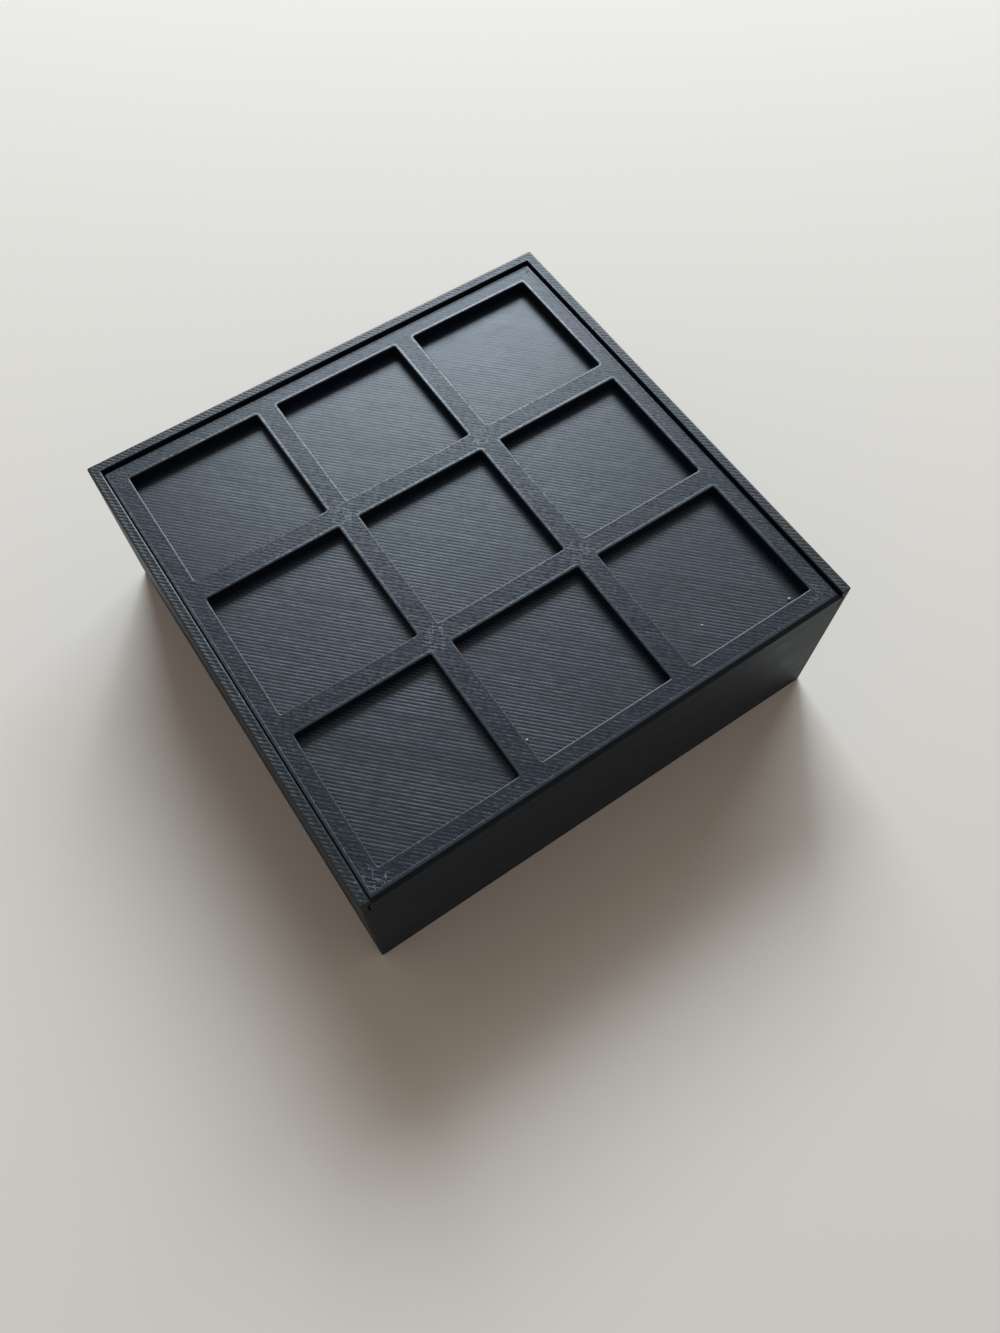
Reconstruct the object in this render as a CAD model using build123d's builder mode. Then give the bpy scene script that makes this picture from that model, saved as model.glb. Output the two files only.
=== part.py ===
from build123d import *
import math
import os

# A printed game box whose sliding lid is the three by three board. Millimetres, +Z up.
# The origin is the middle of the bottom, and the lid slides out over the front wall, towards -Y.

# Board, which is the top of the lid
cells_per_side = 3
cell_side = 32.0
ridge_width = 5.2
board_margin = 4.2
cell_corner_radius = 0.4
recess_depth = 2.8
recess_floor = 2.0

# Edge of the lid: a lip with upright sides, and above it a bevel that the rim holds down
bevel_inset = 0.8
bevel_height = 1.2
lid_clearance = 0.3

# Box
box_height = 43.5
rim_width = 2.3
rim_stand = 1.0
wall_thickness = 4.0
floor_thickness = 2.4
box_edge_radius = 0.4

# Playing pieces: caps that cover each other
cell_clearance = 1.0
cap_wall = 2.0
cap_top = 2.0
cap_corner_radius = 3.0
cap_inside_radius = 0.8
cap_top_chamfer = 0.6
nest_clearance = 1.0
nest_headroom = 5.0
stack_headroom = 2.3
stacks_per_player = 3

# Mark cut into the top of each playing piece
mark_margin = 4.5
mark_stroke = 2.4
mark_depth = 0.8

# How far a cutting shape runs past the face that it opens
overrun = 5.0

# Sizes of the lid
cell_pitch = cell_side + ridge_width
board_side = cells_per_side * cell_side + (cells_per_side - 1) * ridge_width + 2 * board_margin
lip_side = board_side + 2 * bevel_inset
lid_thickness = recess_floor + recess_depth
lip_height = lid_thickness - bevel_height

# Sizes of the box, which follow the lid
box_width = board_side + 2 * lid_clearance + 2 * rim_width
box_depth = bevel_inset + board_side + lid_clearance + rim_width
front = -box_depth / 2
ledge_height = box_height - rim_stand - lid_thickness
bevel_start = ledge_height + lip_height
board_height = ledge_height + lid_thickness
storage_width = box_width - 2 * wall_thickness
storage_depth = box_depth - 2 * wall_thickness

# Places of the lid's edges along Y
lip_back = front + lip_side
board_front = front + bevel_inset
board_back = board_front + board_side
board_middle = (board_front + board_back) / 2

# Sizes of the playing pieces: the large one fits a cell, and each smaller one fits under the next
large_side = cell_side - 2 * cell_clearance
medium_side = large_side - 2 * cap_wall - 2 * nest_clearance
small_side = medium_side - 2 * cap_wall - 2 * nest_clearance
large_height = ledge_height - floor_thickness - stack_headroom
medium_height = large_height - cap_top - nest_headroom
small_height = medium_height - cap_top - nest_headroom

# Places of the stacks: one row along each side wall, evenly spaced from the front to the back
stack_gap = (storage_depth - stacks_per_player * large_side) / (stacks_per_player + 1)
stack_pitch = large_side + stack_gap
stack_row = storage_width / 2 - stack_gap - large_side / 2


def plan(width, front_edge, back_edge):
    """Rectangle centred in x that runs from front_edge to back_edge in y."""
    with Locations((0, (front_edge + back_edge) / 2)):
        Rectangle(width, back_edge - front_edge)


def write(piece, name):
    """Label a finished piece and write it to its STEP file."""
    piece.label = name
    export_step(piece, f"parts/{name}.step")


def make_box():
    """Open box with a ledge for the lid, and a rim that hooks over the lid on three sides."""
    with BuildPart() as box:
        with BuildSketch(Plane.XY):
            RectangleRounded(box_width, box_depth, box_edge_radius)
        extrude(amount=box_height)

        # Storage space
        with BuildSketch(Plane.XY.offset(floor_thickness)):
            Rectangle(storage_width, storage_depth)
        extrude(amount=box_height, mode=Mode.SUBTRACT)

        # Groove for the lip, open at the front
        groove_width = lip_side + 2 * lid_clearance
        groove_back = lip_back + lid_clearance
        with BuildSketch(Plane.XY.offset(ledge_height)):
            plan(groove_width, front - overrun, groove_back)
        extrude(amount=lip_height, mode=Mode.SUBTRACT)

        # Slope over the bevel
        mouth_width = board_side + 2 * lid_clearance
        mouth_back = board_back + lid_clearance
        with BuildSketch(Plane.XY.offset(bevel_start)):
            plan(groove_width, front - overrun, groove_back)
        with BuildSketch(Plane.XY.offset(board_height)):
            plan(mouth_width, front - overrun, mouth_back)
        loft(mode=Mode.SUBTRACT)

        # Mouth between the tops of the rim
        with BuildSketch(Plane.XY.offset(board_height)):
            plan(mouth_width, front - overrun, mouth_back)
        extrude(amount=rim_stand + overrun, mode=Mode.SUBTRACT)
    return box.part


def make_board_lid():
    """Sliding lid: a thick plate with bevelled edges and square recesses, flush with the box front."""
    with BuildPart() as lid:
        with BuildSketch(Plane.XY.offset(ledge_height)):
            plan(lip_side, front, lip_back)
        extrude(amount=lip_height)
        with BuildSketch(Plane.XY.offset(bevel_start)):
            plan(lip_side, front, lip_back)
        with BuildSketch(Plane.XY.offset(board_height)):
            plan(board_side, board_front, board_back)
        loft()

        # Recesses of the board
        with BuildSketch(Plane.XY.offset(board_height)):
            with Locations((0, board_middle)):
                with GridLocations(cell_pitch, cell_pitch, cells_per_side, cells_per_side):
                    RectangleRounded(cell_side, cell_side, cell_corner_radius)
        extrude(amount=-recess_depth, mode=Mode.SUBTRACT)
    return lid.part


def cross_mark(span):
    """Two crossing strokes with round ends, span wide and high."""
    stroke_length = (span - mark_stroke) * math.sqrt(2) + mark_stroke
    for angle in (45, -45):
        SlotOverall(stroke_length, mark_stroke, rotation=angle)


def ring_mark(span):
    """Ring with an outside diameter of span."""
    Circle(span / 2)
    Circle(span / 2 - mark_stroke, mode=Mode.SUBTRACT)


def make_playing_piece(x, y, side, height, hollow, draw_mark):
    """Square cap that stands on the floor of the box, with a mark cut into its top."""
    foot = Plane((x, y, floor_thickness))
    with BuildPart() as piece:
        with BuildSketch(foot):
            RectangleRounded(side, side, cap_corner_radius)
        extrude(amount=height)
        chamfer(piece.faces().sort_by(Axis.Z)[-1].edges(), cap_top_chamfer)
        if hollow:
            inside = side - 2 * cap_wall
            with BuildSketch(foot):
                RectangleRounded(inside, inside, cap_inside_radius)
            extrude(amount=height - cap_top, mode=Mode.SUBTRACT)
        with BuildSketch(foot.offset(height)):
            draw_mark(side - 2 * mark_margin)
        extrude(amount=-mark_depth, mode=Mode.SUBTRACT)
    return piece.part


def write_playing_pieces():
    """One row of nested stacks for each player, numbered from the front."""
    players = {"cross": (-stack_row, cross_mark), "ring": (stack_row, ring_mark)}
    sizes = {
        "large": (large_side, large_height, True),
        "medium": (medium_side, medium_height, True),
        "small": (small_side, small_height, False),
    }
    for player, (x, draw_mark) in players.items():
        for stack in range(stacks_per_player):
            y = (stack - (stacks_per_player - 1) / 2) * stack_pitch
            for size, (side, height, hollow) in sizes.items():
                piece = make_playing_piece(x, y, side, height, hollow, draw_mark)
                write(piece, f"{player}_{size}_{stack + 1}")


os.makedirs("parts", exist_ok=True)
write(make_box(), "box")
write(make_board_lid(), "board_lid")
write_playing_pieces()
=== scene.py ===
"""Looks of the printed tic-tac-toe box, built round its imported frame.

The case and its sliding board are printed in black, and the nested playing pieces in off-white and
red. Meshes are modelled in millimetres, and scaled to metres when they become objects.
"""
import logging
import math
from collections.abc import Iterable
from dataclasses import dataclass
from enum import Enum
from functools import cache
from typing import Any, ClassVar

import bmesh
import bpy
from bmesh.types import BMEdge, BMFace, BMVert
from mathutils import Matrix, Quaternion, Vector


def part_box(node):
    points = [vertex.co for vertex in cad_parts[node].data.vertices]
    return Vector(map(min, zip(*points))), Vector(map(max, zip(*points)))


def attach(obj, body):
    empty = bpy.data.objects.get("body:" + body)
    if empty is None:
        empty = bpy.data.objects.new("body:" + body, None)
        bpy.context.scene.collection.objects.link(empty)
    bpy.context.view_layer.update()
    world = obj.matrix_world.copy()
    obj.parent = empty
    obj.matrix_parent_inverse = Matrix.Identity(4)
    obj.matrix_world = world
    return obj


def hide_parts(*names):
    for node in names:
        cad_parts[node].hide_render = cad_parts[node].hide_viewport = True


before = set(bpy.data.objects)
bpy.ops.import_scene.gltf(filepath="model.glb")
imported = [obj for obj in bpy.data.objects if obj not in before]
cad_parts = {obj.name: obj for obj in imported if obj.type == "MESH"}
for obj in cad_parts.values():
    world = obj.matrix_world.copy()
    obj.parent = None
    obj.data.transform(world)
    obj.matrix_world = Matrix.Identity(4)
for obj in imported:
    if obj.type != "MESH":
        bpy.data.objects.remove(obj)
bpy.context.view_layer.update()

Colour = tuple[float, float, float]

LOG = logging.getLogger("game_box")
METRES = 0.001
DIAGONAL = math.sqrt(0.5)

# Distances that count as none, in millimetres: to a level, between points, and to a cutting plane
LEVEL_SLACK = 1e-3
DOUBLED = 2e-3
ON_THE_CUT = 1e-5

# How far under a top's height its faces may lie, in millimetres
TOP_MARGIN = 0.2

# Part of a normal along an axis: more is a top or an underside, or a face square to the axes
FACES_UP = 0.95
SQUARE_ON = 0.9999

# Angles between faces: an edge is shaded smooth below the first, and rounded above the second
SMOOTH_BELOW = math.radians(35)
ROUND_ABOVE = math.radians(40)

# Facets of a softened edge
SOFT_STEPS = 2


class Surface(Enum):
    """Kinds of printed face. The value is the place of its material on every piece."""

    WALL = 0   # upright, one layer on another
    TOP = 1    # hatched top
    FLOOR = 2  # hatched floor of a recess or of the storage space
    BEAD = 3   # perimeter line round a top
    BED = 4    # underside
    RIM = 5    # top of the box's rim
    SPECK = 6  # blob that the nozzle left


class Mark(Enum):
    """Sign cut into the top of a playing piece."""

    CROSS = "cross"
    RING = "ring"


@dataclass(frozen=True, kw_only=True)
class LineMarks:
    """How the printed lines of one kind of face catch the light.

    Attributes:
        pitch: Width of a line, or height of a layer, in millimetres.
        crown: Slope at the two sides of a line.
        lean: How far a whole line may lean to one side.
        pair: How far lines laid out and lines laid back lean apart.
        streak: How far the lean changes along a line.
        streak_length: Length of such a change along a line, in millimetres.
        streak_width: Its width across the lines, in millimetres.
        wobble: How far a line strays from straight, in millimetres.
        gloss: Change of roughness from line to line.
        shine: Factor on the filament's specular level.
        matt: Factor on the filament's roughness.
        fade: How far the slopes change from place to place.
        settle: Share by which they shrink over each millimetre away from the front left corner.
        tint: Factors on the filament's colour.
    """

    pitch: float
    crown: float = 0.0
    lean: float = 0.0
    pair: float = 0.0
    streak: float
    streak_length: float
    streak_width: float
    wobble: float
    gloss: float = 0.0
    shine: float = 1.0
    matt: float = 1.0
    fade: float = 0.0
    settle: float = 0.0
    tint: Colour = (1.0, 1.0, 1.0)


LINE_MARKS = {
    Surface.WALL: LineMarks(
        pitch=0.2, crown=0.30, lean=0.04, streak=0.03, streak_length=24.0, streak_width=0.4,
        wobble=0.02, gloss=0.04, shine=0.28, matt=1.22),
    Surface.TOP: LineMarks(
        pitch=0.39, crown=0.11, lean=0.016, pair=0.034, streak=0.135, streak_length=1.2,
        streak_width=0.45, wobble=0.04, gloss=0.015, settle=0.006),
    Surface.FLOOR: LineMarks(
        pitch=0.39, crown=0.11, lean=0.011, pair=0.044, streak=0.05, streak_length=2.4,
        streak_width=0.60, wobble=0.01, gloss=0.008, shine=1.34, fade=1.1, settle=0.0105),
    Surface.BEAD: LineMarks(
        pitch=0.39, lean=0.01, streak=0.11, streak_length=1.1, streak_width=0.50,
        wobble=0.05, gloss=0.03, shine=1.55, matt=0.85),
    Surface.BED: LineMarks(
        pitch=0.45, crown=0.04, lean=0.02, streak=0.02, streak_length=9.0, streak_width=0.50,
        wobble=0.03, gloss=0.05),
    Surface.RIM: LineMarks(
        pitch=0.39, crown=0.15, lean=0.02, pair=0.08, streak=0.16, streak_length=1.0,
        streak_width=0.45, wobble=0.05, gloss=0.015, tint=(1.5, 1.08, 0.6)),
    Surface.SPECK: LineMarks(
        pitch=0.39, streak=0.10, streak_length=0.5, streak_width=0.50, wobble=0.05),
}


@dataclass(frozen=True)
class Filament:
    """Plastic that a piece is printed in.

    Attributes:
        name: Start of its materials' names.
        slot: Name of a material slot, which nothing in this script reads.
        colour: Base colour, linear.
        roughness: Mean roughness of a printed face.
        specular: Specular level of the shader.
        relief: Factor on the slopes of the printed lines.
    """

    name: str
    slot: str
    colour: Colour
    roughness: float
    specular: float
    relief: float


BLACK = Filament(name="black_print", slot="case_plastic", colour=(0.0045, 0.0098, 0.0165),
                 roughness=0.36, specular=0.35, relief=1.0)
OFF_WHITE = Filament(name="off_white_print", slot="cross_plastic", colour=(0.78, 0.77, 0.73),
                     roughness=0.46, specular=0.45, relief=0.9)
RED = Filament(name="red_print", slot="ring_plastic", colour=(0.62, 0.07, 0.035),
               roughness=0.44, specular=0.45, relief=0.9)
SPECK_COLOUR = (0.52, 0.51, 0.46)
PLASTIC_IOR = 1.46


@dataclass(frozen=True)
class Unevenness:
    """What makes every printed face a little uneven. Scales count the changes over a millimetre.

    Attributes:
        stray_scale: How quickly lines stray sideways.
        mottle_scale: Scale of the soft mottle over a whole face.
        mottle_detail: How finely the mottle is broken up.
        mottle_height: Height of its bumps, in metres.
        mottle_rough: How far it changes the roughness.
        fade_scale: How quickly the slopes of the lines change from place to place.
        fade_shift: Shift of that change along Y, in millimetres.
        settle_aside: How much a millimetre along X settles the lines, against one along Y.
        tangle_scale: Scale of the loose strands in a crumpled patch.
        strand_narrow: How narrow these strands are.
        strand_slope: Slope of a strand.
        crumple_slope: How far a crumpled patch makes its lines steeper.
    """

    stray_scale: float = 0.35
    mottle_scale: float = 0.16
    mottle_detail: float = 3.0
    mottle_height: float = 0.00006
    mottle_rough: float = 0.08
    fade_scale: float = 0.055
    fade_shift: float = 61.0
    settle_aside: float = 0.35
    tangle_scale: float = 0.55
    strand_narrow: float = 45.0
    strand_slope: float = 0.35
    crumple_slope: float = 0.6


@dataclass(frozen=True)
class Shade:
    """How a printed face varies round its own colour.

    Attributes:
        streak: Weight of the streaks along a line.
        line: Weight of the change from line to line.
        mottle: Weight of the mottle.
        darkest: Factor on a colour at its darkest.
        lightest: Factor on a dark colour at its lightest.
        bleach: Share of its distance to white that a pale colour keeps at its lightest.
    """

    streak: float = 0.6
    line: float = 0.5
    mottle: float = 0.5
    darkest: float = 0.82
    lightest: float = 1.2
    bleach: float = 0.97

    def darken(self, colour: Colour) -> Colour:
        """Colour at its darkest."""
        return tuple(self.darkest * part for part in colour)

    def lighten(self, colour: Colour) -> Colour:
        """Colour at its lightest, where no part passes one."""
        return tuple(1.0 - (1.0 - part) * self.bleach if part > 0.5 else self.lightest * part
                     for part in colour)


class Socket:
    """Number that leaves a node. Python's operators on it add Math nodes."""

    def __init__(self, graph: "Graph", output: bpy.types.NodeSocket | None) -> None:
        """Keep the output and the graph that takes the new nodes."""
        self.graph = graph
        self.output = output

    def __add__(self, other: "Socket | float") -> "Socket":
        """Sum."""
        return self.graph.maths("ADD", self, other)

    def __sub__(self, other: "Socket | float") -> "Socket":
        """Difference."""
        return self.graph.maths("SUBTRACT", self, other)

    def __rsub__(self, other: float) -> "Socket":
        """Difference from a plain number."""
        return self.graph.maths("SUBTRACT", other, self)

    def __mul__(self, other: "Socket | float") -> "Socket":
        """Product."""
        return self.graph.maths("MULTIPLY", self, other)

    def __truediv__(self, other: "Socket | float") -> "Socket":
        """Quotient."""
        return self.graph.maths("DIVIDE", self, other)

    def __abs__(self) -> "Socket":
        """Size without sign."""
        return self.graph.maths("ABSOLUTE", self)

    def floor(self) -> "Socket":
        """Next whole number below."""
        return self.graph.maths("FLOOR", self)

    __radd__ = __add__
    __rmul__ = __mul__


class Graph:
    """Node tree of a material or a world, written as expressions."""

    def __init__(self, owner: bpy.types.Material | bpy.types.World) -> None:
        """Empty the owner's node tree and write to it."""
        owner.use_nodes = True
        self.tree = owner.node_tree
        self.tree.nodes.clear()

    def node(self, kind: str, settings: dict[str, Any] | None = None,
             inputs: dict[int | str, Any] | None = None, output: int | str = 0) -> Socket:
        """Add a node.

        Args:
            kind: Type of the node.
            settings: Its settings, which are set first.
            inputs: Numbers, vectors or sockets for its inputs, by name or place.
            output: Name or place of the output to return.

        Returns:
            The chosen output.
        """
        made = self.tree.nodes.new(kind)
        for name, value in (settings or {}).items():
            setattr(made, name, value)
        for key, value in (inputs or {}).items():
            if isinstance(value, Socket):
                self.tree.links.new(value.output, made.inputs[key])
            else:
                made.inputs[key].default_value = value
        return Socket(self, made.outputs[output] if made.outputs else None)

    def maths(self, operation: str, *values: Socket | float) -> Socket:
        """Result of a Math node."""
        return self.node("ShaderNodeMath", {"operation": operation}, dict(enumerate(values)))

    def vectors(self, operation: str, *values: Socket) -> Socket:
        """Result of a Vector Math node."""
        return self.node("ShaderNodeVectorMath", {"operation": operation}, dict(enumerate(values)))

    def bundle(self, *values: Socket | float) -> Socket:
        """Vector of three numbers."""
        return self.node("ShaderNodeCombineXYZ", inputs=dict(enumerate(values)))

    def millimetres(self) -> tuple[Socket, Socket, Socket]:
        """Place on the object along X, Y and Z."""
        place = self.node("ShaderNodeTexCoord", output="Object")
        return tuple(
            self.node("ShaderNodeSeparateXYZ", inputs={0: place}, output=axis) * (1 / METRES)
            for axis in "XYZ")

    def noise(self, place: Socket, scale: float, detail: float = 2.0) -> Socket:
        """Soft noise round zero, between about -0.5 and 0.5."""
        return self.node("ShaderNodeTexNoise", {"noise_dimensions": "3D"},
                         {"Vector": place, "Scale": scale, "Detail": detail}) - 0.5

    def draw(self, number: Socket, seed: float) -> Socket:
        """Random number between -0.5 and 0.5, the same wherever the given number is the same."""
        return self.node("ShaderNodeTexWhiteNoise", {"noise_dimensions": "1D"},
                         {"W": number + seed}) - 0.5

    def blend(self, share: Socket, first: Colour, second: Colour) -> Socket:
        """Colour between two colours."""
        # Inputs 6 and 7 of a Mix node are its colours, and output 2 is the mixed one
        return self.node("ShaderNodeMix", {"data_type": "RGBA"},
                         {0: share, 6: (*first, 1.0), 7: (*second, 1.0)}, output=2)

    def finish(self, inputs: dict[str, Any]) -> None:
        """End a material in a Principled shader with the given inputs."""
        shader = self.node("ShaderNodeBsdfPrincipled", inputs=inputs)
        self.node("ShaderNodeOutputMaterial", inputs={"Surface": shader})


@dataclass(frozen=True, kw_only=True)
class Spots:
    """Places on the board where the printed lines are crumpled.

    Attributes:
        middle: Middle of the board along Y, in millimetres.
        reach: Distance of the places from that middle, along X and along Y.
        radius: Radius of a crumpled patch.
    """

    middle: float
    reach: float
    radius: float

    def mask(self, graph: Graph, x: Socket, y: Socket) -> Socket:
        """One at the middle of a patch, falling to nought at its radius."""
        across = abs(x) - self.reach
        along = abs(y - self.middle) - self.reach
        near = 1 - (across * across + along * along) / self.radius**2
        return graph.maths("MAXIMUM", near, 0.0)


# The four crossings of the ridges, and the four corners of the board
SPOTS = (Spots(middle=-0.9, reach=18.6, radius=3.4), Spots(middle=-0.9, reach=55.4, radius=4.4))


class PrintedFace:
    """Material of one kind of printed face, whose lines tilt its normal."""

    uneven: ClassVar[Unevenness] = Unevenness()
    shade: ClassVar[Shade] = Shade()
    lean_seed: ClassVar[float] = 0.5
    spread_seed: ClassVar[float] = 7.25

    def __init__(self, filament: Filament, surface: Surface) -> None:
        """Start the material, and find the printed line under each point.

        Args:
            filament: The plastic.
            surface: The kind of face.
        """
        name = f"{filament.name}_{surface.name.lower()}"
        self.material = bpy.data.materials.new(name)
        self.filament, self.surface, self.marks = filament, surface, LINE_MARKS[surface]
        self.graph = graph = Graph(self.material)
        self.x, self.y, self.z = graph.millimetres()
        self.place = graph.bundle(self.x, self.y, self.z)
        if surface is Surface.WALL:
            across, along = self.z, self.x - self.y
            self.aim = (0.0, 0.0, 1.0)
        else:
            across, along = (self.x + self.y) * DIAGONAL, (self.x - self.y) * DIAGONAL
            self.aim = (DIAGONAL, DIAGONAL, 0.0)

        # Number of the printed line, and the place across it from -1 at one side to 1 at the other
        stray = graph.noise(self.place, self.uneven.stray_scale) * (2 * self.marks.wobble)
        count = (across + stray) / self.marks.pitch
        self.line = count.floor()
        self.side = (count - self.line) * 2 - 1

        # What changes along a line, from line to line, and over the whole face
        path = (along / self.marks.streak_length, across / self.marks.streak_width, 0.0)
        self.streak = graph.noise(graph.bundle(*path), 1.0)
        self.spread = graph.draw(self.line, self.spread_seed)
        self.mottle = graph.noise(self.place, self.uneven.mottle_scale,
                                  self.uneven.mottle_detail)

    def write(self) -> bpy.types.Material:
        """Finish the material, with its colour, roughness and normal."""
        rough = (self.spread * (2 * self.marks.gloss) + self.mottle * self.uneven.mottle_rough
                 + self.filament.roughness * self.marks.matt)
        self.graph.finish({
            "Base Color": self.colour(), "Roughness": rough, "Normal": self.normal(),
            "Specular IOR Level": self.filament.specular * self.marks.shine, "IOR": PLASTIC_IOR,
        })
        return self.material

    def colour(self) -> Socket:
        """Colour that changes with streaks, lines and mottle."""
        shade = self.shade
        tone = (self.streak * shade.streak + self.spread * shade.line
                + self.mottle * shade.mottle + 0.5)
        plain = SPECK_COLOUR if self.surface is Surface.SPECK else self.filament.colour
        base = tuple(part * factor for part, factor in zip(plain, self.marks.tint))
        return self.graph.blend(tone, shade.darken(base), shade.lighten(base))

    def slope(self) -> Socket:
        """Slope across the printed lines."""
        marks, graph = self.marks, self.graph
        slope = self.side * self.side * self.side * marks.crown
        slope = slope + graph.draw(self.line, self.lean_seed) * (2 * marks.lean)
        if marks.pair:
            turn = graph.maths("FLOORED_MODULO", self.line, 2.0) - 0.5
            slope = slope + turn * (2 * marks.pair)
        slope = slope + self.streak * (2 * marks.streak)
        if self.surface in (Surface.TOP, Surface.RIM) and self.filament is BLACK:
            slope = self.crumple(slope)
        if marks.fade:
            place = graph.bundle(self.x, self.y + self.uneven.fade_shift, self.z)
            change = graph.noise(place, self.uneven.fade_scale, 1.0)
            slope = slope * (1 + change * marks.fade)
        if marks.settle:
            away = self.x * self.uneven.settle_aside + self.y
            slope = slope * graph.maths("EXPONENT", away * -marks.settle)
        return slope * self.filament.relief

    def crumple(self, slope: Socket) -> Socket:
        """Add the loose strands where ridges cross and at the board's corners.

        Args:
            slope: Slope of the even lines.

        Returns:
            The slope with its crumpled patches.
        """
        graph, uneven = self.graph, self.uneven
        patches = sum((spots.mask(graph, self.x, self.y) for spots in SPOTS), 0.0)
        tangle = graph.noise(graph.bundle(self.x, self.y, 0.0), uneven.tangle_scale, 1.0)
        strand = graph.maths("MAXIMUM", 1 - abs(tangle) * uneven.strand_narrow, 0.0)
        return (slope * (1 + patches * uneven.crumple_slope)
                + strand * patches * uneven.strand_slope)

    def normal(self) -> Socket:
        """Normal of the face, tilted by the lines and roughened by the mottle."""
        graph, slope = self.graph, self.slope()
        tilt = graph.node(
            "ShaderNodeVectorTransform",
            {"vector_type": "VECTOR", "convert_from": "OBJECT", "convert_to": "WORLD"},
            {0: graph.bundle(*(slope * part if part else 0.0 for part in self.aim))})
        facing = graph.node("ShaderNodeNewGeometry", output="Normal")
        tilted = graph.vectors("NORMALIZE", graph.vectors("ADD", facing, tilt))
        return graph.node("ShaderNodeBump", inputs={
            "Strength": 1.0, "Distance": self.uneven.mottle_height,
            "Height": self.mottle, "Normal": tilted})


@cache
def printed_plastic(filament: Filament) -> tuple[bpy.types.Material, ...]:
    """Materials of a filament in the order of Surface, made once."""
    return tuple(PrintedFace(filament, surface).write() for surface in Surface)


@dataclass(frozen=True)
class Patch:
    """Rectangle in plan, in millimetres."""

    left: float
    right: float
    front: float
    back: float

    @classmethod
    def square(cls, x: float, y: float, half: float) -> "Patch":
        """Square round a point."""
        return cls(x - half, x + half, y - half, y + half)

    def holds(self, point: Vector) -> bool:
        """Tell whether a point lies inside in plan."""
        return self.left < point.x < self.right and self.front < point.y < self.back

    def outside(self, faces: Iterable[BMFace]) -> list[BMFace]:
        """Those of some faces whose middle lies outside in plan."""
        return [face for face in faces if not self.holds(face.calc_center_median())]


@dataclass(frozen=True)
class Bead:
    """Perimeter line along the edge of a printed top, in millimetres.

    Attributes:
        flank: Width of each of its two sloping sides.
        crown: Width of its middle.
        rise: Height of the middle over the sides.
        groove: Half the width of the groove beside it.
        sink: Depth of that groove under the middle.
        drop: How far the hatch lies under the middle.
    """

    flank: float = 0.12
    crown: float = 0.38
    rise: float = 0.014
    groove: float = 0.05
    sink: float = 0.035
    drop: float = 0.014

    @property
    def width(self) -> float:
        """Width of the line with its groove."""
        return 2 * self.flank + self.crown + 2 * self.groove


BEAD = Bead()


def points_of(faces: Iterable[BMFace]) -> list[BMVert]:
    """Points of a region, each once."""
    return list(dict.fromkeys(vert for face in faces for vert in face.verts))


def rim_of(faces: Iterable[BMFace]) -> list[BMEdge]:
    """Edges between a region and the rest."""
    region = set(faces)
    edges = dict.fromkeys(edge for face in faces for edge in face.edges)
    return [edge for edge in edges if sum(face in region for face in edge.link_faces) == 1]


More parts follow.
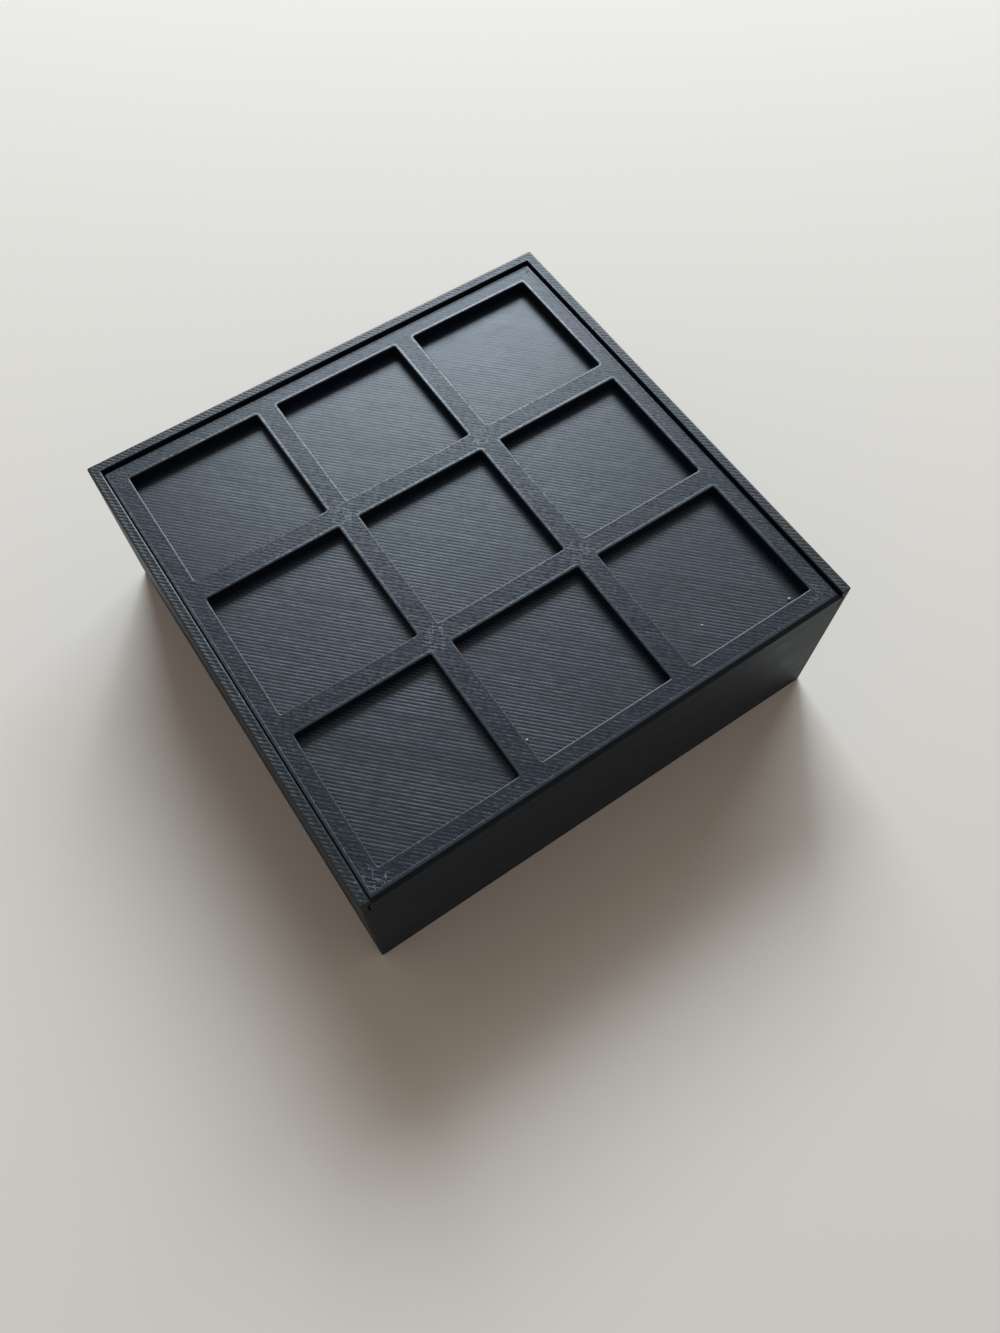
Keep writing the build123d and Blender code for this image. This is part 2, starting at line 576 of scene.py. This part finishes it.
class Carving:
    """A printed solid while it is being modelled, in millimetres."""

    def __init__(self) -> None:
        """Start with an empty mesh."""
        self.mesh = bmesh.new()

    def sheet(self, patch: Patch, height: float, corner: float = 0.0,
              steps: int = 4) -> list[BMFace]:
        """Add a flat rectangle that faces up.

        Args:
            patch: Its place in plan.
            height: Its height.
            corner: Radius of its corners.
            steps: Edges round each corner.

        Returns:
            The new face, in a list.
        """
        before = set(self.mesh.faces)
        corners = bmesh.ops.create_grid(self.mesh, x_segments=1, y_segments=1, size=0.5)["verts"]
        size = (patch.right - patch.left, patch.back - patch.front, 1.0)
        middle = ((patch.left + patch.right) / 2, (patch.front + patch.back) / 2, height)
        bmesh.ops.scale(self.mesh, verts=corners, vec=size)
        bmesh.ops.translate(self.mesh, verts=corners, vec=middle)
        if corner:
            self.bevel(corners, corner, steps, affect="VERTICES")
        return [face for face in self.mesh.faces if face not in before]

    def bevel(self, parts: list[BMVert] | list[BMEdge], width: float, steps: int,
              affect: str = "EDGES", slide: bool = False) -> None:
        """Round points or edges.

        Args:
            parts: The points or edges.
            width: Distance from each to where its rounding starts.
            steps: Facets of the rounding.
            affect: EDGES or VERTICES, as in Blender.
            slide: Let the rounding end on the edges that it meets.
        """
        bmesh.ops.bevel(self.mesh, geom=parts, offset=width, offset_type="OFFSET", affect=affect,
                        segments=steps, profile=0.5, material=-1, loop_slide=slide)

    def score(self, axis: int, places: tuple[float, ...]) -> None:
        """Cut every face along planes that cross an axis at the given places."""
        for place in places:
            point, normal = Vector(), Vector()
            point[axis], normal[axis] = place, 1.0
            geometry = self.mesh.verts[:] + self.mesh.edges[:] + self.mesh.faces[:]
            bmesh.ops.bisect_plane(self.mesh, geom=geometry, dist=ON_THE_CUT,
                                   plane_co=point, plane_no=normal)

    def pull(self, faces: list[BMFace], rise: float, keep: bool = False) -> list[BMFace]:
        """Extrude a region straight up or down.

        Args:
            faces: The region.
            rise: Distance, below nought for down.
            keep: Leave the first faces in place, as the bottom of a new solid.

        Returns:
            The region's new faces.
        """
        made = bmesh.ops.extrude_face_region(self.mesh, geom=faces, use_keep_orig=True)["geom"]
        points = [part for part in made if isinstance(part, BMVert)]
        bmesh.ops.translate(self.mesh, verts=points, vec=(0, 0, rise))
        if not keep:
            self.remove(faces)
        return [part for part in made if isinstance(part, BMFace)]

    def step_in(self, faces: list[BMFace], inward: float, rise: float = 0.0,
                surface: Surface = Surface.WALL) -> list[BMFace]:
        """Inset a region and move what is inside.

        Args:
            faces: The region, which becomes the inside.
            inward: Width of the new border.
            rise: How far the inside moves along its normal.
            surface: Kind of face of the border.

        Returns:
            The faces of the border.
        """
        border = bmesh.ops.inset_region(self.mesh, faces=faces, thickness=inward, depth=rise,
                                        use_boundary=True, use_even_offset=True)["faces"]
        for face in border:
            face.material_index = surface.value
        return border

    def lay_bead(self, faces: list[BMFace]) -> None:
        """Lay a perimeter line inside the edges of a region, and a groove beside the hatch."""
        for inward, rise in ((BEAD.flank, BEAD.rise), (BEAD.crown, 0.0), (BEAD.flank, -BEAD.rise),
                             (BEAD.groove, BEAD.rise - BEAD.sink),
                             (BEAD.groove, BEAD.sink - BEAD.drop)):
            self.step_in(faces, inward, rise, Surface.BEAD)

    def level(self, height: float) -> list[BMFace]:
        """Flat faces at a height."""
        return [face for face in self.mesh.faces
                if all(abs(vert.co.z - height) < LEVEL_SLACK for vert in face.verts)]

    def remove(self, faces: list[BMFace]) -> None:
        """Delete a region and what only it uses."""
        bmesh.ops.delete(self.mesh, geom=faces, context="FACES")

    def fill(self, edges: list[BMEdge]) -> None:
        """Fill flat loops, leaving the loops inside an outer loop open as holes."""
        whole = [edge for edge in edges if edge.is_valid]
        bmesh.ops.triangle_fill(self.mesh, use_beauty=True, edges=whole)

    def weld(self, faces: list[BMFace], distance: float) -> None:
        """Join the points of a region that lie nearer to each other than a distance."""
        bmesh.ops.remove_doubles(self.mesh, verts=points_of(faces), dist=distance)

    def close(self) -> None:
        """Join doubled points and turn every face outwards."""
        bmesh.ops.remove_doubles(self.mesh, verts=self.mesh.verts, dist=DOUBLED)
        bmesh.ops.recalc_face_normals(self.mesh, faces=self.mesh.faces)
        self.mesh.normal_update()

    def soften(self, width: float) -> None:
        """Round the sharp outer edges by a width."""
        edges = [edge for edge in self.mesh.edges if edge.is_manifold and edge.is_convex
                 and edge.calc_face_angle() > ROUND_ABOVE]
        self.bevel(edges, width, SOFT_STEPS, slide=True)

    def sort_surfaces(self, top: float, crest: Surface = Surface.TOP) -> None:
        """Give every face that isn't a bead or a speck its kind, by its height and direction.

        Args:
            top: Height of the lowest top.
            crest: Kind of the tops.
        """
        for face in self.mesh.faces:
            if face.material_index in (Surface.BEAD.value, Surface.SPECK.value):
                continue
            if face.normal.z > FACES_UP:
                high = face.calc_center_median().z > top - TOP_MARGIN
                kind = crest if high else Surface.FLOOR
            else:
                kind = Surface.BED if face.normal.z < -FACES_UP else Surface.WALL
            face.material_index = kind.value

    def finish(self, name: str, node: str, filament: Filament) -> None:
        """Turn the mesh into a piece that stands for a node of the frame.

        Args:
            name: The piece's name.
            node: The node it replaces, which is also its body.
            filament: The plastic it is printed in.
        """
        for face in self.mesh.faces:
            face.smooth = max(abs(part) for part in face.normal) < SQUARE_ON
        for edge in self.mesh.edges:
            edge.smooth = edge.is_manifold and edge.calc_face_angle() < SMOOTH_BELOW
        self.mesh.transform(Matrix.Scale(METRES, 4))
        data = bpy.data.meshes.new(name)
        self.mesh.to_mesh(data)
        self.mesh.free()
        for material in printed_plastic(filament):
            data.materials.append(material)
        piece = bpy.data.objects.new(name, data)
        bpy.context.scene.collection.objects.link(piece)
        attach(piece, node)
        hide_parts(node)
        LOG.info("%s: %d faces", name, len(data.polygons))


@dataclass
class CaseBox:
    """Open box with a ledge for the lid and a rim over it on three sides. Millimetres.

    Attributes:
        half_width: Half its width.
        half_depth: Half its depth.
        height: Height of the rim's top.
        base: Thickness of its floor.
        wall: Thickness of its walls under the ledge.
        ledge: Height of the ledge.
        lip_height: Height of the upright part of the groove.
        slope_height: Height of the groove's sloping part.
        slope_inset: How far the rim hooks over the groove.
        groove_half: Half the groove's width.
        groove_back: Place of its back along Y.
        corner_radius: Radius of the upright outer edges.
        corner_steps: Facets of these edges.
        edge_radius: Width of the rounding of the other outer edges.
        shoulder: Width of the shoulders beside the rim's top.
        shoulder_fall: How far they lie under it.
        band: Distance from a shoulder to the sunk band on the rim.
        band_fall: Depth of that band.
        weld: Points nearer than this join where a shoulder turns a corner.
    """

    half_width: float = 60.0
    half_depth: float = 59.1
    height: float = 43.5
    base: float = 2.4
    wall: float = 4.0
    ledge: float = 37.7
    lip_height: float = 3.6
    slope_height: float = 1.2
    slope_inset: float = 0.8
    groove_half: float = 58.5
    groove_back: float = 57.6
    corner_radius: float = 0.4
    corner_steps: int = 3
    edge_radius: float = 0.12
    shoulder: float = 0.22
    shoulder_fall: float = 0.03
    band: float = 0.60
    band_fall: float = 0.05
    weld: float = 0.2

    def build(self) -> None:
        """Model the box from a scored sheet that is raised in terraces."""
        carving = Carving()
        side, end = self.half_width - self.wall, self.half_depth - self.wall
        outline = Patch(-self.half_width, self.half_width, -self.half_depth, self.half_depth)
        storage = Patch(-side, side, -end, end)
        mouth = Patch(-self.groove_half, self.groove_half, -2 * self.half_depth, self.groove_back)
        carving.sheet(outline, 0.0)
        carving.score(0, (-self.groove_half, -side, side, self.groove_half))
        carving.score(1, (-end, end, self.groove_back))

        crest = self.height - self.shoulder_fall
        level = carving.pull(carving.mesh.faces[:], self.base, keep=True)
        level = carving.pull(storage.outside(level), self.ledge - self.base)
        level = carving.pull(mouth.outside(level), self.lip_height)
        level = carving.pull(level, self.slope_height)
        self.hook_over(level)
        carving.pull(level, crest - self.ledge - self.lip_height - self.slope_height)
        carving.close()
        carving.bevel(self.uprights(carving), self.corner_radius, self.corner_steps)
        carving.soften(self.edge_radius)

        carving.step_in(carving.level(crest), self.shoulder, self.shoulder_fall, Surface.BEAD)
        carving.weld(carving.level(self.height), self.weld)
        carving.step_in(carving.level(self.height), self.band, -self.band_fall, Surface.RIM)
        carving.sort_surfaces(self.ledge, Surface.RIM)
        carving.finish("printed_box", "box", BLACK)

    def hook_over(self, faces: list[BMFace]) -> None:
        """Move the inner edge of the rim over the place of the lid's bevel."""
        for vert in points_of(faces):
            x, y = vert.co.x, vert.co.y
            if abs(abs(x) - self.groove_half) < LEVEL_SLACK and y < self.groove_back + LEVEL_SLACK:
                vert.co.x -= math.copysign(self.slope_inset, x)
            if abs(y - self.groove_back) < LEVEL_SLACK and abs(x) < self.groove_half + LEVEL_SLACK:
                vert.co.y -= self.slope_inset

    def uprights(self, carving: Carving) -> list[BMEdge]:
        """Upright edges at the four outer corners."""
        def outer(vert: BMVert) -> bool:
            """Tell whether a point stands at an outer corner."""
            return (abs(abs(vert.co.x) - self.half_width) < LEVEL_SLACK
                    and abs(abs(vert.co.y) - self.half_depth) < LEVEL_SLACK)

        return [edge for edge in carving.mesh.edges if all(outer(vert) for vert in edge.verts)
                and abs(edge.verts[0].co.z - edge.verts[1].co.z) > LEVEL_SLACK]


@dataclass
class BoardLid:
    """Sliding board: a plate with a lip, a bevel and nine square recesses. Millimetres.

    Attributes:
        lip_half: Half the side of the plate.
        front: Place of its front along Y.
        base: Height of its underside.
        lip_height: Height of its upright edge.
        bevel_inset: Width of the bevel over that edge.
        bevel_height: Height of the bevel.
        cells: Recesses along each side.
        cell: Side of a recess.
        pitch: Distance from one recess to the next.
        corner: Radius of a recess's corners.
        depth: Depth of a recess.
        rounding: Width of the rounding of the upper edges.
        facets: Shares of a rounding's width and depth that its two facets take.
        specks: Place in plan and radius of each blob that the nozzle left.
        speck_shape: Factors on a blob along each axis.
        speck_stand: Share of a blob's radius by which its middle stands over the floor.
    """

    lip_half: float = 58.2
    front: float = -59.1
    base: float = 37.7
    lip_height: float = 3.6
    bevel_inset: float = 0.8
    bevel_height: float = 1.2
    cells: int = 3
    cell: float = 32.0
    pitch: float = 37.2
    corner: float = 0.4
    depth: float = 2.8
    rounding: float = 0.14
    facets: tuple[tuple[float, float], ...] = ((0.62, 0.40), (0.38, 0.60))
    specks: tuple[tuple[float, float, float], ...] = (
        (49.6, -52.6, 0.42), (30.2, -47.2, 0.34), (-15.1, -47.9, 0.36))
    speck_shape: tuple[float, float, float] = (1.0, 0.8, 0.7)
    speck_stand: float = 0.25

    @property
    def top(self) -> float:
        """Height of the board's face."""
        return self.base + self.lip_height + self.bevel_height

    @property
    def middle(self) -> float:
        """Middle of the board along Y."""
        return self.front + self.lip_half

    def build(self) -> None:
        """Model the plate, then the recesses, and close the board's face between them."""
        carving = Carving()
        outline = Patch.square(0.0, self.middle, self.lip_half)
        plate = carving.pull(carving.sheet(outline, self.base), self.lip_height, keep=True)
        carving.mesh.normal_update()
        # The bevel stops short of the face, and the rounding over it takes the rest
        carving.step_in(plate, self.bevel_inset - self.rounding / 4,
                        self.bevel_height - self.rounding / 2 - BEAD.rise)
        carving.step_in(plate, self.rounding / 2, self.rounding / 2, Surface.BEAD)
        carving.lay_bead(plate)
        edges = rim_of(plate)
        carving.remove(plate)
        places = [(number - (self.cells - 1) / 2) * self.pitch for number in range(self.cells)]
        for x in places:
            for y in places:
                edges += self.sink_cell(carving, x, self.middle + y)
        carving.fill(edges)
        carving.close()
        self.add_specks(carving)
        carving.sort_surfaces(self.top)
        carving.finish("sliding_board", "board_lid", BLACK)

    def sink_cell(self, carving: Carving, x: float, y: float) -> list[BMEdge]:
        """Model one recess with the perimeter line round its mouth.

        Args:
            carving: The board.
            x: Middle of the recess along X.
            y: Middle of the recess along Y.

        Returns:
            The outer edges of the perimeter line, where the hatch of the ridges meets it.
        """
        band = BEAD.width + self.rounding
        mouth = Patch.square(x, y, self.cell / 2 + band)
        floor = carving.sheet(mouth, self.top - BEAD.drop, self.corner + band)
        carving.mesh.normal_update()
        outer = carving.step_in(floor, 2 * BEAD.groove, 0.0, Surface.TOP)
        line = [(BEAD.flank, BEAD.drop), (BEAD.crown, 0.0), (BEAD.flank, -BEAD.rise)]
        edge = [(self.rounding * width, -self.rounding * fall) for width, fall in self.facets]
        for inward, rise in line + edge:
            carving.step_in(floor, inward, rise, Surface.BEAD)
        carving.pull(floor, self.rounding + BEAD.rise - self.depth)
        return [edge for face in outer for edge in face.edges if edge.is_boundary]

    def add_specks(self, carving: Carving) -> None:
        """Add the small blobs that the nozzle left in two of the recesses."""
        for x, y, size in self.specks:
            blob = bmesh.ops.create_icosphere(carving.mesh, subdivisions=2, radius=size)["verts"]
            place = (x, y, self.top - self.depth + size * self.speck_stand)
            bmesh.ops.scale(carving.mesh, verts=blob, vec=self.speck_shape)
            bmesh.ops.translate(carving.mesh, verts=blob, vec=place)
            for vert in blob:
                for face in vert.link_faces:
                    face.material_index = Surface.SPECK.value


@dataclass
class PlayingPiece:
    """Square cap with a mark cut into its top. Millimetres.

    Attributes:
        node: Name of the node it replaces.
        mark: The mark on its top.
        wall: Thickness of its side walls.
        roof: Thickness of its top.
        corner: Radius of its upright edges.
        corner_steps: Facets of these edges.
        chamfer: Size of the chamfer round its top.
        margin: Distance from its side to the mark.
        stroke: Width of the mark's lines.
        cut: Depth of the mark.
        round_end: Share of half a stroke that each of the two roundings at its end takes, which
            is just under one, so that they don't meet.
        end_steps: Facets of such a rounding.
        ring_steps: Facets round a ring.
    """

    node: str
    mark: Mark
    wall: float = 2.0
    roof: float = 2.0
    corner: float = 3.0
    corner_steps: int = 6
    chamfer: float = 0.6
    margin: float = 4.5
    stroke: float = 2.4
    cut: float = 0.8
    round_end: float = 0.998
    end_steps: int = 5
    ring_steps: int = 64

    def build(self) -> None:
        """Model the cap from its foot up, cut the mark, and hollow it where a piece fits under."""
        low, high = (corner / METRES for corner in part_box(self.node))
        carving = Carving()
        plan = Patch(low.x, high.x, low.y, high.y)
        foot = carving.sheet(plan, low.z, self.corner, self.corner_steps)
        head = carving.pull(foot, high.z - low.z - self.chamfer, keep=True)
        carving.mesh.normal_update()
        carving.step_in(head, self.chamfer, self.chamfer - BEAD.rise)
        carving.lay_bead(head)
        edges = rim_of(head)
        carving.remove(head)
        middle = Vector(((low.x + high.x) / 2, (low.y + high.y) / 2, high.z - BEAD.drop))
        edges += self.cut_mark(carving, middle, high.x - low.x - 2 * self.margin)
        carving.fill(edges)
        carving.close()
        if "small" not in self.node:
            base = carving.level(low.z)
            carving.step_in(base, self.wall)
            carving.pull(base, high.z - low.z - self.roof)
            carving.close()
        carving.sort_surfaces(high.z)
        filament = OFF_WHITE if self.mark is Mark.CROSS else RED
        carving.finish(f"{self.node}_cap", self.node, filament)

    def cut_mark(self, carving: Carving, middle: Vector, span: float) -> list[BMEdge]:
        """Model the groove of the mark.

        Args:
            carving: The cap.
            middle: Middle of the mark on the cap's top.
            span: Width of the mark.

        Returns:
            The upper edges of the groove.
        """
        draw = self.cross if self.mark is Mark.CROSS else self.ring
        outline = draw(carving, span)
        bmesh.ops.translate(carving.mesh, verts=points_of(outline), vec=middle)
        edges = rim_of(outline)
        carving.pull(outline, -self.cut)
        return edges

    def cross(self, carving: Carving, span: float) -> list[BMFace]:
        """Two crossing strokes with round ends, as flat faces at the origin."""
        before = set(carving.mesh.faces)
        hub = carving.sheet(Patch.square(0.0, 0.0, self.stroke / 2), 0.0)[0]
        reach = (span - self.stroke) * DIAGONAL
        ends: list[BMVert] = []
        for edge in list(hub.edges):
            outward = (edge.verts[0].co + edge.verts[1].co).normalized()
            made = bmesh.ops.extrude_edge_only(carving.mesh, edges=[edge])["geom"]
            tips = [part for part in made if isinstance(part, BMVert)]
            bmesh.ops.translate(carving.mesh, verts=tips, vec=outward * reach)
            ends += tips
        carving.bevel(ends, self.stroke / 2 * self.round_end, self.end_steps, affect="VERTICES")
        faces = [face for face in carving.mesh.faces if face not in before]
        bmesh.ops.rotate(carving.mesh, verts=points_of(faces), cent=(0, 0, 0),
                         matrix=Matrix.Rotation(math.radians(45), 3, "Z"))
        return faces

    def ring(self, carving: Carving, span: float) -> list[BMFace]:
        """Flat ring at the origin."""
        edges: list[BMEdge] = []
        for radius in (span / 2, span / 2 - self.stroke):
            loop = bmesh.ops.create_circle(carving.mesh, cap_ends=False, radius=radius,
                                           segments=self.ring_steps)["verts"]
            edges += dict.fromkeys(edge for vert in loop for edge in vert.link_edges)
        return bmesh.ops.bridge_loops(carving.mesh, edges=edges)["faces"]


@dataclass(frozen=True)
class Softbox:
    """Flat lamp that faces the box.

    Attributes:
        azimuth: Where it hangs, in degrees from +Y towards +X.
        elevation: Its height, in degrees.
        width: Its width in metres.
        height: Its height in metres.
        radiance: How bright its face is.
    """

    azimuth: float
    elevation: float
    width: float
    height: float
    radiance: float


@dataclass
class Studio:
    """Plain pale floor, soft light from behind and the right, and the photograph's camera. Metres.

    Attributes:
        floor_size: Side of the floor.
        floor_tone: Colour of the floor.
        floor_roughness: Its roughness.
        floor_specular: Its specular level.
        sky_tone: Light that the plain sky gives.
        backdrop_tone: Backdrop that the camera and clear reflections see.
        lamp_distance: Distance of the lamps from the middle of the box's bottom.
        lamp_tone: Colour of the lamps.
        lamps: The lamps.
        camera_place: Where the camera stands.
        camera_aim: The point that it looks at.
        camera_roll: Its turn round its own axis, in degrees.
        camera_lens: Its focal length in millimetres.
        camera_sensor: Width of its sensor in millimetres.
        camera_near: Distance from which it sees.
    """

    floor_size: float = 8.0
    floor_tone: Colour = (0.88, 0.80, 0.70)
    floor_roughness: float = 0.9
    floor_specular: float = 0.1
    sky_tone: Colour = (0.235, 0.212, 0.195)
    backdrop_tone: Colour = (0.58, 0.58, 0.57)
    lamp_distance: float = 1.6
    lamp_tone: Colour = (0.86, 1.0, 1.14)
    lamps: tuple[Softbox, ...] = (
        Softbox(azimuth=26.0, elevation=39.5, width=0.70, height=0.72, radiance=11.2),
        Softbox(azimuth=52.0, elevation=35.0, width=0.90, height=0.58, radiance=5.4))
    camera_place: tuple[float, float, float] = (-0.06501, -0.11065, 0.23414)
    camera_aim: tuple[float, float, float] = (0.0008, -0.01519, 0.0)
    camera_roll: float = 0.449
    camera_lens: float = 28.46
    camera_sensor: float = 36.0
    camera_near: float = 0.01

    def build(self) -> None:
        """Set up floor, sky, lamps and camera."""
        self.lay_floor()
        self.light_sky()
        for lamp in self.lamps:
            self.hang(lamp)
        self.place_camera()
        bpy.context.scene.view_settings.view_transform = "Standard"

    def lay_floor(self) -> None:
        """Make the floor and mark it as stage."""
        mesh = bmesh.new()
        bmesh.ops.create_grid(mesh, x_segments=1, y_segments=1, size=self.floor_size / 2)
        data = bpy.data.meshes.new("floor")
        mesh.to_mesh(data)
        mesh.free()
        material = bpy.data.materials.new("pale_floor")
        Graph(material).finish({
            "Base Color": (*self.floor_tone, 1.0), "Roughness": self.floor_roughness,
            "Specular IOR Level": self.floor_specular})
        data.materials.append(material)
        floor = bpy.data.objects.new("floor", data)
        bpy.context.scene.collection.objects.link(floor)

    def light_sky(self) -> None:
        """Light the object with a plain sky, and show the camera a pale backdrop."""
        world = bpy.data.worlds.new("plain_sky")
        bpy.context.scene.world = world
        graph = Graph(world)
        sky, backdrop = (
            graph.node("ShaderNodeBackground", inputs={"Color": (*tone, 1.0)})
            for tone in (self.sky_tone, self.backdrop_tone))
        seen, glossy, through = (
            graph.node("ShaderNodeLightPath", output=f"Is {kind} Ray")
            for kind in ("Camera", "Glossy", "Transmission"))
        seen = graph.maths("MAXIMUM", graph.maths("MAXIMUM", seen, glossy), through)
        mix = graph.node("ShaderNodeMixShader", inputs={0: seen, 1: sky, 2: backdrop})
        graph.node("ShaderNodeOutputWorld", inputs={"Surface": mix})

    def hang(self, softbox: Softbox) -> None:
        """Hang a softbox so that it faces the box."""
        data = bpy.data.lights.new("softbox", "AREA")
        data.shape = "RECTANGLE"
        data.size, data.size_y = softbox.width, softbox.height
        # Watts that give its whole face this radiance
        data.energy = softbox.radiance * math.pi * softbox.width * softbox.height
        data.color = self.lamp_tone
        azimuth, elevation = math.radians(softbox.azimuth), math.radians(softbox.elevation)
        towards = Vector((math.sin(azimuth) * math.cos(elevation),
                          math.cos(azimuth) * math.cos(elevation), math.sin(elevation)))
        lamp = bpy.data.objects.new("softbox", data)
        lamp.location = towards * self.lamp_distance
        lamp.rotation_mode = "QUATERNION"
        lamp.rotation_quaternion = (-towards).to_track_quat("-Z", "Y")
        bpy.context.scene.collection.objects.link(lamp)

    def place_camera(self) -> None:
        """Place the camera at the photograph's viewing angle."""
        data = bpy.data.cameras.new("camera")
        data.sensor_width = self.camera_sensor
        data.lens = self.camera_lens
        data.clip_start = self.camera_near
        camera = bpy.data.objects.new("camera", data)
        camera.location = self.camera_place
        view = Vector(self.camera_aim) - Vector(self.camera_place)
        roll = Quaternion((0, 0, 1), math.radians(self.camera_roll))
        camera.rotation_mode = "QUATERNION"
        camera.rotation_quaternion = view.to_track_quat("-Z", "Y") @ roll
        bpy.context.scene.collection.objects.link(camera)
        bpy.context.scene.camera = camera


def main() -> None:
    """Build the box, the board, the playing pieces and the studio."""
    logging.basicConfig(level=logging.INFO, format="%(message)s")
    CaseBox().build()
    BoardLid().build()
    for node in sorted(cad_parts):
        for mark in Mark:
            if node.startswith(mark.value):
                PlayingPiece(node, mark).build()
    Studio().build()


if __name__ == "__main__":
    main()
